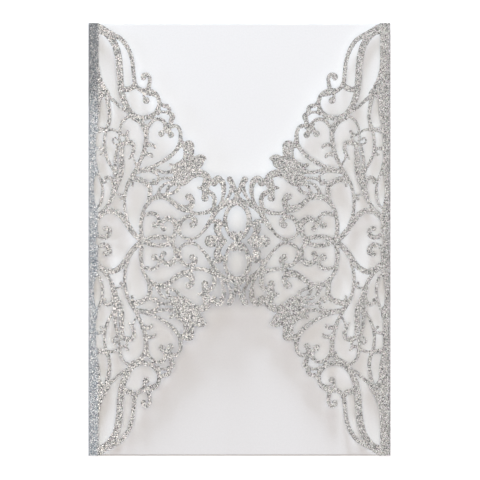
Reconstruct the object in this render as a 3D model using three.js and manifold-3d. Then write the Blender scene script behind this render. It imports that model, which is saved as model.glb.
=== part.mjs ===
// Laser-cut gatefold invitation: one folded sheet of glitter card with two lace gates,
// and a pearl insert card lying on its back panel. It lies on its back.
// Millimetres. X across the card, Y up the page, Z out of the front.

import * as THREE from 'three';
import { mergeGeometries, mergeVertices } from 'three/addons/utils/BufferGeometryUtils.js';
import Module from 'manifold-3d';

const wasm = await Module();
wasm.setup();

// Driving dimensions
const cardWidth = 126; // over the two folds
const cardHeight = 180.5; // along the folds
const cardThickness = 0.4;
const foldRadius = 0.8; // inside of each fold
const lowerGateLift = 3.5; // degrees that the lower gate springs up from its fold
const gateClearance = 0.3; // between the lower gate's tip and the gate that lies on it
const spineFlat = 1.4; // narrowest flat strip that the lace keeps beside its fold
const insertThickness = 0.3;
const insertSideClearance = 0.3; // from the insert card to the bend of each fold
const insertEndMargin = 0.5; // by which the insert card is shorter at each end
const outlineError = 0.23; // how far a straight facet may leave the true curve
const strokeError = 0.03; // the same, for the links of a stroke before they are joined
const neckShare = 0.3; // of the width of a neck or gap, by which its outline may move
const curveSteps = 7; // steps between two points of a stroke before it is thinned
const roundEndFacets = 8; // in each round end of a stroke
const bendFacets = 8; // round each fold
const sameCorner = 1e-4; // corners this close are one corner
const seamGap = 0.01; // largest gap that closes where two stretches of the sheet meet

// The lace is drawn for a card of this size and stretched to the real one
const drawnWidth = 126;
const drawnHeight = 180.5;

// Worked out from the driving dimensions
const halfWidth = cardWidth / 2;
const halfHeight = cardHeight / 2;
const foldDepth = foldRadius + cardThickness; // from the outside of a fold to the end of its bend
const stretchAcross = cardWidth / drawnWidth;
const stretchUp = cardHeight / drawnHeight;

// The lace of one quarter of a gate. Each stroke is a smooth line through points
// [u, v, width]: u from the outside of the fold towards the centre, v up from the mid line.

const cornerLeaf = [
  [[3, 88.2, 3.9], [7.5, 86.1, 2.9], [10.7, 82.2, 2.9], [12.3, 78, 2.9], [13.1, 73, 2.8],
    [13.6, 65.5, 2.8], [14.8, 59, 2.7], [17, 54.5, 2.4], [19.5, 52, 2.2], [22.6, 50.9, 2]],
  [[5.6, 88.1, 2.4], [10.7, 85.4, 2], [14.2, 83.2, 1.9], [16.9, 79.4, 1.8], [18.5, 74.5, 1.7],
    [19.2, 68.5, 1.7], [19.9, 64.8, 1.7], [22.2, 62.6, 1.9], [25.8, 61.8, 3], [28.8, 60.4, 2],
    [29.9, 57.4, 1.6], [28.8, 53.9, 1.7], [26.3, 51.7, 2], [22.6, 50.9, 2]],
  [[14.2, 63.2, 2.4], [16.5, 62.9, 2.2], [18.4, 63.6, 2.3], [19.8, 65, 1.8]],
  [[8, 60.3, 1.8], [11.2, 57.8, 1.4], [14, 55.2, 1.3], [16.8, 53.7, 1.6]],
  [[25.1, 62.6, 2], [25.7, 65.3, 1.6], [25.8, 67.7, 1.6], [24.6, 69, 1.8], [23.1, 68.5, 2]],
  [[23.9, 62, 1.4], [23.5, 60, 1.2], [24, 58.6, 1.6]],
  [[7.8, 59.6, 2], [8.6, 55.8, 1.6], [9, 52.3, 1.5], [8.6, 48.8, 1.6], [7.6, 46.3, 1.8]],
];

const innerScrolls = [
  [[18.6, 52.2, 1.6], [15.8, 50.9, 1.3], [14, 48.8, 1.2], [13.4, 46.3, 1.2], [13.4, 44.4, 1.2]],
  [[13.4, 44.4, 1.2], [15.7, 44.1, 1.3], [16.7, 45.6, 1.2]],
  [[3, 46, 2.8], [6.2, 46.2, 1.8], [11, 46.1, 1], [13.3, 44.7, 1.1]],
  [[13.4, 44.4, 1.1], [13, 42.6, 1], [13.6, 40.8, 1.4], [14.4, 39.6, 1.6]],
  [[15.7, 44.1, 1.1], [16.3, 42.8, 1.2], [15.8, 41.2, 1.4]],
  [[7.4, 45.6, 1.3], [6.8, 41.5, 1.2], [7.1, 37.3, 1.3], [8.6, 33, 1.3], [10.6, 29.4, 1.2],
    [11.7, 25.4, 1.2]],
  [[12.6, 40, 0.9], [10.7, 40.7, 0.7], [10.3, 42.1, 0.7], [11.3, 43, 0.7], [12, 42.2, 0.8]],
  [[12.6, 40, 1.2], [11.8, 36.5, 1.4], [11.3, 33, 1.4], [11.6, 30, 1.6], [12.2, 26.4, 1.6]],
  [[14.4, 39.6, 1.6], [14, 36, 2.1], [14, 31, 2.3], [13.8, 28, 2], [13.2, 25.8, 1.8], [12.2, 24, 1.6]],
  [[14.3, 40.3, 1.6], [16.5, 41, 2.2], [18.6, 40.6, 1.9], [19.2, 39, 1.7], [18.9, 37.1, 1.6],
    [18.2, 35.6, 1.2]],
  [[18.3, 35.9, 1], [19.1, 34.3, 0.8], [19.7, 32.8, 0.8], [20.4, 31.2, 0.8]],
  [[18, 35.4, 0.9], [17.2, 34.2, 0.7]],
  [[2.6, 38.5, 1.8], [4.8, 38.4, 1.3], [7, 38.1, 1.3]],
  [[6.8, 38, 1], [6.3, 36.9, 0.8], [5.6, 36.2, 0.9]],
  [[3.7, 29.2, 1.2], [5.3, 25.3, 1.1], [6, 21.5, 1.1], [5.7, 17.8, 1.1], [4.8, 15, 1.1],
    [3.6, 13.8, 1]],
  [[11, 23.6, 2.2], [9.9, 25.8, 1.7], [8.3, 26.5, 1.6], [6.8, 25.7, 1.4], [6.9, 24.6, 1.2]],
  [[12.1, 24.6, 2.4], [11.1, 21.8, 2.5], [9.8, 17.6, 1.8], [7.8, 14.3, 1.5], [5.8, 11.8, 1.4],
    [3.6, 8.8, 1.4]],
  [[11.2, 19.5, 0.9], [13.4, 19.5, 0.8], [15.5, 18.6, 0.9]],
  [[14.8, 18.8, 0.8], [13.8, 17.7, 1.1]],
];

const lobes = [
  [[29.8, 57.6, 1.6], [31.6, 56.2, 1.7], [33.3, 55.9, 1.8], [34.1, 54.5, 1.8], [33.6, 53.3, 1.5]],
  [[29.5, 54.6, 2.2], [29.2, 53, 1.6], [30.8, 53.5, 1.2], [32.6, 53.5, 1.2], [34.3, 53, 1.6]],
  [[34, 53.3, 1.6], [35.5, 51.8, 2.2], [35, 50.1, 2.1], [34.8, 48.6, 1.8]],
  [[18.8, 51.2, 2], [21.5, 50, 2.4], [23.1, 48, 2.3], [24.2, 45.4, 2]],
  [[33, 48.4, 1.7], [33.2, 46.5, 1.5], [33, 45, 0.9]],
  [[24.4, 46.2, 2], [25.7, 48.2, 1.4], [27.6, 50.2, 1.6], [29.8, 50.6, 1.5], [31.8, 49.6, 1.7],
    [32.5, 47.6, 1.7], [31.8, 45.9, 1.5]],
  [[38.9, 42, 1.7], [38.8, 45.3, 1.6], [37.5, 47.5, 1.6], [35.4, 47.6, 1.7], [34, 46.4, 1.8],
    [34.4, 44.6, 1.8]],
];

const stems = [
  [[24.3, 47.4, 2], [24.3, 42, 1.9], [23.5, 37.3, 1.8], [21.7, 33, 1.7], [19.6, 28.7, 1.7],
    [17.3, 25, 1.6], [15.9, 21.3, 1.4], [15.3, 17, 1.3], [15.5, 12.5, 1.3], [17, 7.4, 1.2]],
  [[24, 40, 2], [26.4, 40, 1.7], [27.9, 39.5, 1.3], [28.1, 38.9, 1.1]],
  [[23, 36.1, 2.1], [25.4, 36.2, 1.7], [26.6, 35.8, 1.3], [26.8, 35, 1.1]],
  [[20.3, 29.3, 1.4], [24.3, 30.1, 1.5], [28, 31.3, 1.6], [33, 34.1, 1.7], [36.6, 37.2, 1.7],
    [38.6, 40.4, 1.9], [39, 43.5, 1.6]],
  [[25.6, 30, 1.3], [28.3, 29.7, 1.2], [31.5, 28.7, 1.4], [33.5, 28.6, 1.4], [36, 29.2, 2.4]],
  [[19.2, 28.2, 1.4], [23, 28.9, 1.1], [26.6, 29, 1.2], [29.2, 27.4, 1.2], [29.6, 25.4, 1.2],
    [28.4, 23.9, 1.2]],
  [[19, 26.1, 2.5], [21.5, 25.6, 2.4], [24, 24.5, 2.1], [25.7, 22.8, 2.2], [26, 20.5, 2],
    [25.8, 18, 1.9], [25.3, 16.4, 1.7]],
  [[18.8, 25, 1.4], [18.5, 23, 1.1]],
  [[24.8, 24.2, 1.4], [27, 24, 1.2], [28.8, 24, 1.4]],
  [[27.5, 24.2, 1.2], [27.5, 25.2, 1.3]],
  [[29.2, 25.2, 1.2], [31.5, 26.1, 1.2], [33.6, 26.2, 1.2], [36.8, 25.8, 2]],
  [[29.3, 19.6, 1.6], [30.2, 21.7, 1.4], [31.6, 23.3, 1.2], [33.5, 24.3, 0.9], [36.5, 24.9, 1]],
  [[33.2, 19.6, 1.6], [33.5, 21.6, 1.5], [34.6, 23.1, 1.2], [37.2, 23.8, 1.4]],
  [[32.4, 19.4, 1.2], [35, 19.9, 1.4], [37.1, 20.8, 1.5], [38, 22.1, 1.6], [38.6, 24, 2]],
];

const blossom = [
  [[42.3, 39.4, 4.9], [42.4, 36.6, 4.5], [42, 33.5, 4.6], [41.5, 30.5, 5]],
  [[39.6, 41, 1.7], [39.3, 39.3, 1.4]],
  [[36, 31, 1.7], [34.6, 31.7, 1.5]],
  [[43.5, 28.4, 3.8], [47.9, 28.1, 3.1], [50.2, 26.6, 3.1], [49.9, 24, 3.6], [49.3, 21.8, 3],
    [49.1, 19.6, 2.2], [49.3, 17.9, 2.8]],
  [[48.4, 22.2, 2], [46.5, 22.2, 1.1]],
  [[49.4, 21, 2], [51.4, 20.1, 2.1], [52.9, 18.9, 2], [53.4, 17, 1.9], [53.2, 15.2, 1.9],
    [53.4, 13.2, 2]],
  [[50, 24.9, 2.6], [52.5, 24.8, 2.4]],
  [[53.1, 24.4, 3], [54.9, 25.9, 2.8], [56.5, 24.8, 2.6], [57.3, 22.5, 2.1], [57.3, 20.3, 1.8],
    [56.9, 18.2, 1.4], [56.2, 16.2, 1.2], [55.2, 14.6, 1.2]],
];

const heart = [
  [[3.5, 9.3, 2.2], [6.5, 12, 2.4], [10, 12.7, 2.3], [13.3, 11, 2.3], [16.2, 7.3, 2.3],
    [18.9, 3.5, 2.3], [21, 1.4, 2.2], [23.4, -0.4, 2.2]],
  [[3, 3.4, 1.9], [5.2, 1.9, 1.9], [7.3, 1.6, 2], [8.8, 3, 2], [8.8, 4.8, 2], [7.5, 5.4, 1.9]],
];

const rings = [
  [[23.4, -0.4, 2], [22.5, 2.6, 1.8], [22.1, 6, 1.7], [22.5, 9.5, 1.6], [23.2, 12.7, 1.5],
    [24.9, 15.5, 1.7], [27.3, 17.7, 2], [30.5, 18.7, 2.5], [33.5, 17.8, 2.1], [36.1, 15.8, 2.2],
    [38.8, 14, 2.7], [41.5, 13.5, 3], [43.4, 14.8, 2.7], [43.8, 17, 2.4], [42.9, 18.3, 2.8]],
  [[22.6, 10.6, 1.4], [24.6, 11.2, 1.5], [26.7, 11.6, 1.6], [28.7, 10.9, 1.6], [29.8, 9.2, 1.5],
    [29.5, 7.4, 1.7]],
  [[37.2, 6.2, 2.2], [36.2, 8.1, 2.4], [34.2, 9.4, 2.4], [32.2, 8.8, 2.1], [30.9, 7.4, 2],
    [31, 5.9, 1.6]],
  [[37.6, 7, 2.4], [37.4, 5, 3], [36.6, 3.2, 1.9], [35.8, 1.6, 2], [34.6, -0.4, 2.4]],
  [[24, 0.3, 2], [27, 1.5, 1.9], [30, 1.8, 2], [33, 1.4, 1.9], [35.4, 0.2, 2.2]],
  [[38, 6.2, 2.4], [39.4, 8.6, 1.9], [41.3, 10, 1.8], [43.5, 10, 2], [45, 8.7, 2.2], [45, 7.3, 2.3]],
  [[42.2, 13, 2], [44.5, 11.7, 1.5], [47.5, 11.6, 1.5], [50, 12, 1.8], [52.9, 13.1, 2.4]],
  [[37.9, 5.4, 2.2], [38.7, 3, 1.4], [40.4, 1.5, 1.3], [43, 0.8, 1.4], [45.6, 1.4, 1.3],
    [48.2, 3.8, 1.3], [50.3, 6.4, 1.8], [51.9, 8.9, 2.1], [53.6, 11.8, 2.2], [55.6, 13.9, 2.2],
    [58.3, 15.5, 2.2], [60.8, 16.4, 2], [62.4, 17.8, 1.9], [63.4, 19.9, 1.9], [64.5, 22, 2.2],
    [65.3, 24, 2.3], [66.2, 25.7, 2.4]],
  [[52.6, 8.3, 1.7], [55.4, 8.3, 1.9]],
  [[59.8, 25.7, 2.4], [60.8, 24, 2.3], [60.8, 22, 2.1], [60.1, 20, 1.5], [59.1, 18, 1.3],
    [57.4, 16, 1.4]],
];

// The centre medallion, which each gate carries whole: this half and its mirror image
// about the centre line
const medallion = [
  [[63.4, 16.2, 2.3], [60.8, 15, 1.9], [59.1, 13, 1.7], [58.2, 10.8, 1.6], [58, 8.5, 1.7],
    [58.5, 5.8, 1.5], [59.6, 3.2, 1.4], [61, 1.7, 1.8], [63.2, 1, 2.6]],
  [[57.6, 7.6, 2.6], [56.2, 7.6, 3.4], [54.8, 6.5, 2.8], [54.7, 4.6, 2.6], [55.6, 2.4, 2.6],
    [57.3, -0.2, 2.6]],
  [[52.7, 0, 4.8], [55, 0, 3.8], [57, 0, 2.6]],
];

// Round ends of the curls: [u, v, radius]
const bulbs = [
  [24.4, 58.3, 1.4], [23.2, 67.7, 1.15], [30.8, 44.6, 1.35], [34.8, 44.1, 1.35], [5.4, 36, 0.6],
  [7, 24.6, 0.75], [13.7, 17.6, 0.65], [7, 5.2, 0.95], [42.3, 18.5, 1.45], [28, 6.7, 1.45],
  [31.8, 5.2, 1.15], [44, 6.8, 1.4], [49.3, 17.9, 1.5], [53.1, 24.2, 1.5],
];
const medallionBulbs = [[61.5, 2.9, 1.7]];

// Filled areas, as smooth closed outlines
const blossomBody = [[36.2, 31.9], [38.6, 33.4], [41, 35], [43.6, 33.8], [46.2, 30], [46.8, 28.6],
  [45.8, 26.6], [44.1, 25.9], [42.4, 24.2], [40.3, 22.9], [38.6, 23.2], [36.6, 25.2], [35.8, 27.5],
  [35.2, 30]];
const blossomLeaf = [[43.5, 34.5], [45.2, 35.4], [47, 36], [48.7, 35.7], [50.1, 34.4], [48.9, 33],
  [48.4, 31.4], [46.4, 30], [43.5, 30.8]];
const cornerFill = [[2, 84], [2, 91.5], [4.6, 89.9], [6.6, 88.9], [6, 86.6], [4.2, 85.6]];

// The free edge of the strip beside the fold: [u, v] from the corner down to the mid line
const spineEdge = [[4.5, 92], [4.5, 86], [4.4, 76], [4.7, 72], [5.5, 68.3], [7.4, 64.2], [9.2, 61],
  [7, 60.2], [5.2, 58], [4.9, 54], [4.4, 50.5], [3.4, 45.4], [3.2, 40], [3.3, 34], [4.1, 29.4], [2.7, 26],
  [2.6, 18], [3.7, 13.3], [3.9, 8.4], [3.9, 4], [3.3, 1.4], [3.3, -1]];

function onCard([u, v]) {
  return [u * stretchAcross - foldDepth, v * stretchUp];
}

// Smooth line through points, whose third number is carried along with the place
function smoothLine(points, closed) {
  const curve = new THREE.CatmullRomCurve3(points, closed, 'centripetal');
  return curve.getPoints(points.length * curveSteps);
}

// The points of a line, between two of them, whose chords keep every point within its allowed error
function thinned(line, allowed, start = 0, end = line.length - 1) {
  const chord = new THREE.Line3(line[start], line[end]);
  const nearest = new THREE.Vector3();
  let worst = 1;
  let corner = start;
  for (let i = start + 1; i < end; i += 1) {
    const share = chord.closestPointToPoint(line[i], true, nearest).distanceTo(line[i]) / allowed[i];
    if (share > worst) {
      worst = share;
      corner = i;
    }
  }
  if (corner === start) return [line[start], line[end]];
  return [...thinned(line, allowed, start, corner), ...thinned(line, allowed, corner, end).slice(1)];
}

// Half turn about a centre, from an angle
function halfTurn(centre, radius, angle) {
  return Array.from({ length: roundEndFacets + 1 }, (_, i) => {
    const turned = angle + (Math.PI * i) / roundEndFacets;
    return new THREE.Vector2(radius * Math.cos(turned), radius * Math.sin(turned)).add(centre);
  });
}

// Outline of one straight link of a stroke, round at both ends. A point's z is the width there.
function linkOutline(from, to) {
  const heading = Math.atan2(to.y - from.y, to.x - from.x);
  return [
    ...halfTurn(to, to.z / 2, heading - Math.PI / 2),
    ...halfTurn(from, from.z / 2, heading + Math.PI / 2),
  ];
}

// Outlines of the links that follow a stroke's smooth line
function strokeOutlines(stroke) {
  const points = stroke.map(([u, v, width]) => new THREE.Vector3(...onCard([u, v]), width));
  const smooth = smoothLine(points, false);
  const line = thinned(smooth, smooth.map(() => strokeError));
  return line.slice(1).map((to, i) => linkOutline(line[i], to));
}

function areaOutline(points) {
  const line = smoothLine(points.map((point) => new THREE.Vector3(...onCard(point), 0)), true);
  return line.slice(1).map((point) => new THREE.Vector2(point.x, point.y));
}

function discOutline([u, v, radius]) {
  const [x, y] = onCard([u, v]);
  const disc = new THREE.Shape().absarc(x, y, radius, 0, 2 * Math.PI);
  return disc.getPoints(2 * roundEndFacets).slice(1);
}

function spineOutline() {
  const line = smoothLine(spineEdge.map((point) => new THREE.Vector3(...onCard(point), 0)), false);
  const edge = line.map((point) => new THREE.Vector2(point.x, point.y));
  return [...edge, new THREE.Vector2(0, edge[edge.length - 1].y), new THREE.Vector2(0, edge[0].y)];
}

function toManifold(geometry) {
  geometry.deleteAttribute('normal');
  geometry.deleteAttribute('uv');
  const welded = mergeVertices(geometry, sameCorner);
  return new wasm.Manifold(new wasm.Mesh({
    numProp: 3,
    vertProperties: new Float32Array(welded.attributes.position.array),
    triVerts: new Uint32Array(welded.index.array),
  }));
}

// One thickness of card inside an outline
function cutCard(outline) {
  return toManifold(new THREE.ExtrudeGeometry(new THREE.Shape(outline), {
    depth: cardThickness,
    bevelEnabled: false,
  }));
}

function mirrorUp(outline) {
  return outline.map((point) => new THREE.Vector2(point.x, -point.y)).reverse();
}

function mirrorAcross(outline) {
  const centre = halfWidth - foldDepth;
  return outline.map((point) => new THREE.Vector2(2 * centre - point.x, point.y)).reverse();
}

// Solids joined in pairs, the pairs in pairs, and so on
function joined(solids) {
  if (solids.length === 1) return solids[0];
  const middle = Math.floor(solids.length / 2);
  return joined(solids.slice(0, middle)).add(joined(solids.slice(middle)));
}

// The flat lace, with its fold along x = 0: every outline and its mirror image about the mid
// line, and the medallion's also about the centre line, joined and trimmed to the sheet
function flatLace() {
  const strokes = [...cornerLeaf, ...innerScrolls, ...lobes, ...stems, ...blossom, ...heart, ...rings];
  const nearMedallion = [...medallion.flatMap(strokeOutlines), ...medallionBulbs.map(discOutline)];
  const upper = [
    ...strokes.flatMap(strokeOutlines),
    ...bulbs.map(discOutline),
    ...[blossomBody, blossomLeaf, cornerFill].map(areaOutline),
    ...nearMedallion,
    ...nearMedallion.map(mirrorAcross),
    spineOutline(),
  ];
  const spine = new THREE.BoxGeometry(spineFlat, 2 * cardHeight, cardThickness);
  spine.translate(spineFlat / 2, 0, cardThickness / 2);
  const sheet = new THREE.BoxGeometry(cardWidth, cardHeight, 4 * cardThickness);
  sheet.translate(halfWidth, 0, 0);
  const cuts = [...upper, ...upper.map(mirrorUp)].map(cutCard);
  return joined([toManifold(spine), ...cuts]).intersect(toManifold(sheet));
}

// Outlines of a flat solid's upper face, each a closed ring of points in order
function faceOutlines(solid) {
  const { vertProperties, triVerts } = solid.getMesh();
  const sides = new Set();
  for (let t = 0; t < triVerts.length; t += 3) {
    const corners = [...triVerts.subarray(t, t + 3)];
    if (corners.every((corner) => vertProperties[3 * corner + 2] > cardThickness / 2)) {
      corners.forEach((corner, k) => sides.add(`${corner} ${corners[(k + 1) % 3]}`));
    }
  }
  const next = new Map();
  for (const side of sides) {
    const [from, to] = side.split(' ');
    if (!sides.has(`${to} ${from}`)) next.set(from, to);
  }
  const outlines = [];
  while (next.size > 0) {
    const ring = [];
    let corner = next.keys().next().value;
    while (next.has(corner)) {
      const following = next.get(corner);
      next.delete(corner);
      ring.push(new THREE.Vector3(vertProperties[3 * corner], vertProperties[3 * corner + 1], 0));
      corner = following;
    }
    outlines.push(ring);
  }
  return outlines;
}

// How far each point of closed outlines may move: the outline's error, or less beside a narrow
// neck or gap, whose two sides run opposite ways
function allowedErrors(outlines) {
  const places = outlines.flatMap((ring) => ring.map((point, i) => {
    const next = ring[(i + 1) % ring.length];
    return { x: point.x, y: point.y, along: next.x - point.x, up: next.y - point.y };
  }));
  const reach = outlineError / neckShare;
  const allowed = places.map((place) => {
    let gap = reach;
    for (const other of places) {
      const across = Math.abs(other.x - place.x);
      if (across < gap && place.along * other.along + place.up * other.up < 0) {
        gap = Math.min(gap, Math.hypot(across, other.y - place.y));
      }
    }
    return gap * neckShare;
  });
  return outlines.map((ring) => allowed.splice(0, ring.length));
}

// A closed ring thinned in two halves, from its point nearest to the fold's lower end
function thinnedRing(ring, allowed) {
  const corner = new THREE.Vector3(0, -halfHeight, 0);
  const distances = ring.map((point) => point.distanceTo(corner));
  const start = distances.indexOf(Math.min(...distances));
  const turned = (list) => [...list.slice(start), ...list.slice(0, start), list[start]];
  const line = turned(ring);
  const away = line.map((point) => point.distanceTo(line[0]));
  const far = away.indexOf(Math.max(...away));
  const errors = turned(allowed);
  return [...thinned(line, errors, 0, far), ...thinned(line, errors, far).slice(1, -1)];
}

// The flat gate: the lace's outlines carried through the card's thickness
function flatGate() {
  const traced = faceOutlines(flatLace());
  const allowed = allowedErrors(traced);
  const outlines = traced.map((ring, i) => thinnedRing(ring, allowed[i])).filter((ring) => ring.length > 2);
  outlines.sort((a, b) => Math.abs(THREE.ShapeUtils.area(b)) - Math.abs(THREE.ShapeUtils.area(a)));
  const [edge, ...holes] = outlines;
  const lace = new THREE.Shape(edge);
  lace.holes = holes.map((hole) => new THREE.Path(hole));
  const geometry = new THREE.ExtrudeGeometry(lace, { depth: cardThickness, bevelEnabled: false });
  geometry.deleteAttribute('normal');
  geometry.deleteAttribute('uv');
  return mergeVertices(geometry, sameCorner);
}

// A geometry without the triangles whose corners all lie on a seam
function withoutSeam(geometry, onSeam) {
  const position = geometry.attributes.position;
  const kept = [];
  for (let i = 0; i < geometry.index.count; i += 3) {
    const corners = [0, 1, 2].map((k) => geometry.index.getX(i + k));
    const points = corners.map((corner) => new THREE.Vector3().fromBufferAttribute(position, corner));
    if (!points.every(onSeam)) kept.push(...corners);
  }
  const open = geometry.clone();
  open.setIndex(kept);
  return open;
}

// Centre line of the left fold's bend, seen along Y
const bendCentre = new THREE.Vector2(-halfWidth + foldDepth, foldDepth);

// How far each gate reaches across the card: to the far side of its medallion
const medallionNear = Math.min(...medallion.flat().map(([u, , width]) => u * stretchAcross - width / 2));
const medallionReach = cardWidth - medallionNear;

// The upper gate lies on the tip of the lower one
const lowerLift = THREE.MathUtils.degToRad(lowerGateLift);
const tipHeight = (medallionReach - foldDepth) * Math.tan(lowerLift) + cardThickness + gateClearance;
const upperLift = Math.atan2(tipHeight, cardWidth - medallionReach - foldDepth);

// A gate turned up about its fold, on the left side of the card
function foldedGate(gate, lift) {
  const geometry = withoutSeam(gate, (point) => Math.abs(point.x) < sameCorner);
  geometry.translate(0, 0, foldRadius);
  geometry.rotateY(-lift);
  geometry.translate(bendCentre.x, 0, bendCentre.y);
  return geometry;
}

// Points of a bend of a given radius, from the gate round to the back panel
function bend(radius, lift) {
  const sweep = Math.PI - lift;
  return Array.from({ length: bendFacets + 1 }, (_, i) => {
    const angle = Math.PI / 2 + lift + (sweep * i) / bendFacets;
    return new THREE.Vector2(radius * Math.cos(angle), radius * Math.sin(angle)).add(bendCentre);
  });
}

function opposite(points) {
  return points.map((point) => new THREE.Vector2(-point.x, point.y)).reverse();
}

// Back panel and both folds: the folded section carried along Y
function backAndFolds() {
  const outer = [...bend(foldDepth, upperLift), ...opposite(bend(foldDepth, lowerLift))];
  const inner = [...bend(foldRadius, upperLift), ...opposite(bend(foldRadius, lowerLift))];
  const section = new THREE.Shape([...outer, ...inner.reverse()]);
  const geometry = new THREE.ExtrudeGeometry(section, { depth: cardHeight, bevelEnabled: false });
  geometry.rotateX(Math.PI / 2);
  geometry.translate(0, halfHeight, 0);
  geometry.deleteAttribute('normal');
  geometry.deleteAttribute('uv');
  const welded = mergeVertices(geometry, sameCorner);
  const onSeam = (point) => {
    const side = point.x < 0 ? 1 : -1;
    const lift = point.x < 0 ? upperLift : lowerLift;
    const across = point.x * side - bendCentre.x;
    const up = point.z - bendCentre.y;
    return up > 0 && Math.abs(across * Math.cos(lift) + up * Math.sin(lift)) < seamGap;
  };
  return withoutSeam(welded, onSeam);
}

// The wrapper is one sheet: gates, folds and back panel share their corners along each seam
function wrapperGeometry() {
  const gate = flatGate();
  const upperGate = foldedGate(gate, upperLift);
  const lowerGate = foldedGate(gate, lowerLift);
  lowerGate.rotateZ(Math.PI);
  return mergeVertices(mergeGeometries([backAndFolds(), upperGate, lowerGate]), seamGap);
}

function insertGeometry() {
  const width = cardWidth - 2 * (foldDepth + insertSideClearance);
  const height = cardHeight - 2 * insertEndMargin;
  const geometry = new THREE.BoxGeometry(width, height, insertThickness);
  geometry.translate(0, 0, cardThickness + insertThickness / 2);
  return geometry;
}

const glitterCard = new THREE.MeshStandardMaterial({ color: 0xb4b2b1, roughness: 0.45, metalness: 0.35 });
const pearlCard = new THREE.MeshStandardMaterial({ color: 0xecebee, roughness: 0.5, metalness: 0 });

function namedMesh(name, geometry, material) {
  geometry.computeVertexNormals();
  const mesh = new THREE.Mesh(geometry, material);
  mesh.name = name;
  return mesh;
}

const invitation = new THREE.Group();
invitation.add(namedMesh('gatefold_wrapper', wrapperGeometry(), glitterCard));
invitation.add(namedMesh('insert_card', insertGeometry(), pearlCard));

export default invitation;
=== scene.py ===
"""Laser-cut gatefold invitation: a folded sheet of silver glitter card over a pearl insert card.

The lace is drawn in millimetres as tapered strokes on the upper half of one gate. Its sheet is
worked out flat, with smooth edges where strokes run into each other, and then folded round the card.
"""

import bmesh
import bpy
import numpy as np
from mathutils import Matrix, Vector
from mathutils.geometry import delaunay_2d_cdt


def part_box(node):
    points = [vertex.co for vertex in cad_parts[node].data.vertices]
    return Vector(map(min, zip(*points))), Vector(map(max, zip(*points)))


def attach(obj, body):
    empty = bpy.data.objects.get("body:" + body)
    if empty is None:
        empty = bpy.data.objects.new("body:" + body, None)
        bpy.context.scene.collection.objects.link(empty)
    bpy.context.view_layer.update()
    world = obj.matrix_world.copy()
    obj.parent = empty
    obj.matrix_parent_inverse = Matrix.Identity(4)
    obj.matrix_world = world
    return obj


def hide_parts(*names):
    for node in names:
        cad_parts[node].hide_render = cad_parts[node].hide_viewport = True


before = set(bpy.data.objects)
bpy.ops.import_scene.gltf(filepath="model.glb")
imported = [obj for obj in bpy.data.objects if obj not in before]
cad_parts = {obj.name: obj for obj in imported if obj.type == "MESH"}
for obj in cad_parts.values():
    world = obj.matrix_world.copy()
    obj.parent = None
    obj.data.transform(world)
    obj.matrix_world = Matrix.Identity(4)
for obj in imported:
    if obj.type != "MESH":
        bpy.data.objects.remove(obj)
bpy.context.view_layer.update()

# Sizes taken from the frame, in millimetres
MM = 0.001
WRAPPER_LOW, WRAPPER_HIGH = (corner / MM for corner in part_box("gatefold_wrapper"))
INSERT_LOW, INSERT_HIGH = (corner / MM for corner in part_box("insert_card"))
CARD_WIDTH = WRAPPER_HIGH.x - WRAPPER_LOW.x
CARD_HEIGHT = WRAPPER_HIGH.y - WRAPPER_LOW.y

# The insert card lies on the back panel, so what is below it is the panel's thickness
CARD_THICKNESS = INSERT_LOW.z

# Sizes of the folded sheet, in millimetres and degrees
FOLD_RADIUS = 0.8
LOWER_LIFT = 3.4
GATE_CLEARANCE = 0.28
SPINE_FLAT = 1.4

# How far the middle of the lace lies to the left and down, in millimetres
LACE_SHIFT = 0.9
LACE_DROP = 0.75

# The flat grid: its step, its rows beyond each end, and how far it goes past the card's centre
GRID_STEP = 0.28
GRID_MARGIN = 2
PAST_CENTRE = 20

# The pieces of a smooth line between two of its points, and of a bend
LINE_STEPS = 14
BEND_STEPS = 16

# How round the lace is where strokes meet, and how far from its edge the distance is worked out
CROTCH_RADIUS = 0.12
STROKE_REACH = 1.4

# The triangulation takes closer points as one, and answers with the triangles inside its outline
SAME_POINT = 1e-6
TRIANGLES_INSIDE = 1

# Which corners of a grid's cell are inside, as the sum of 1, 2, 4 and 8 for them anticlockwise from
# the low left one, and the two sides of the cell that a piece of the edge then joins
EDGE_CASES = (
    ((1, 14), "low", "left"),
    ((2, 13), "low", "right"),
    ((4, 11), "right", "high"),
    ((8, 7), "left", "high"),
    ((3, 12), "left", "right"),
    ((6, 9), "low", "high"),
    ((5,), "low", "right"),
    ((5,), "left", "high"),
    ((10,), "low", "left"),
    ((10,), "right", "high"),
)

# Edges bent by more than this many degrees stay crisp
SHARP_ANGLE = 40

# The lace is drawn for a card of this size
DRAWN_WIDTH = 126
DRAWN_HEIGHT = 180.5

# Worked out from the sizes above
FOLD_DEPTH = FOLD_RADIUS + CARD_THICKNESS
MID_RADIUS = FOLD_RADIUS + CARD_THICKNESS / 2
HALF_WIDTH = CARD_WIDTH / 2
HALF_HEIGHT = CARD_HEIGHT / 2
PANEL_HALF = HALF_WIDTH - FOLD_DEPTH
BEND_LENGTH = np.pi * MID_RADIUS
STRETCH = np.array([CARD_WIDTH / DRAWN_WIDTH, CARD_HEIGHT / DRAWN_HEIGHT])

# The insert card, in millimetres, and the points of its grid across and up
INSERT_GAP = 0.01
INSERT_BOW = 0.12
EASED_EDGE = 0.05
INSERT_GRID = (42, 60)

# The glitter: the size of its flakes, and their colours from the darkest flake to the brightest
FLAKE_SIZE = 0.27
FLAKE_COLOURS = (
    (0, (0.03, 0.03, 0.03)),
    (0.28, (0.3743, 0.3686, 0.3667)),
    (0.64, (0.6009, 0.5917, 0.5887)),
    (0.75, (0.985, 0.97, 0.965)),
    (1, (1, 1, 1)),
)

# The flakes' share of random tint, how far they tilt, and the gaps between them
FLAKE_TINT = 0.12
FLAKE_TILT = 0.9
GAP_WIDTH = 0.12
GAP_TONE = 0.3

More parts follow.
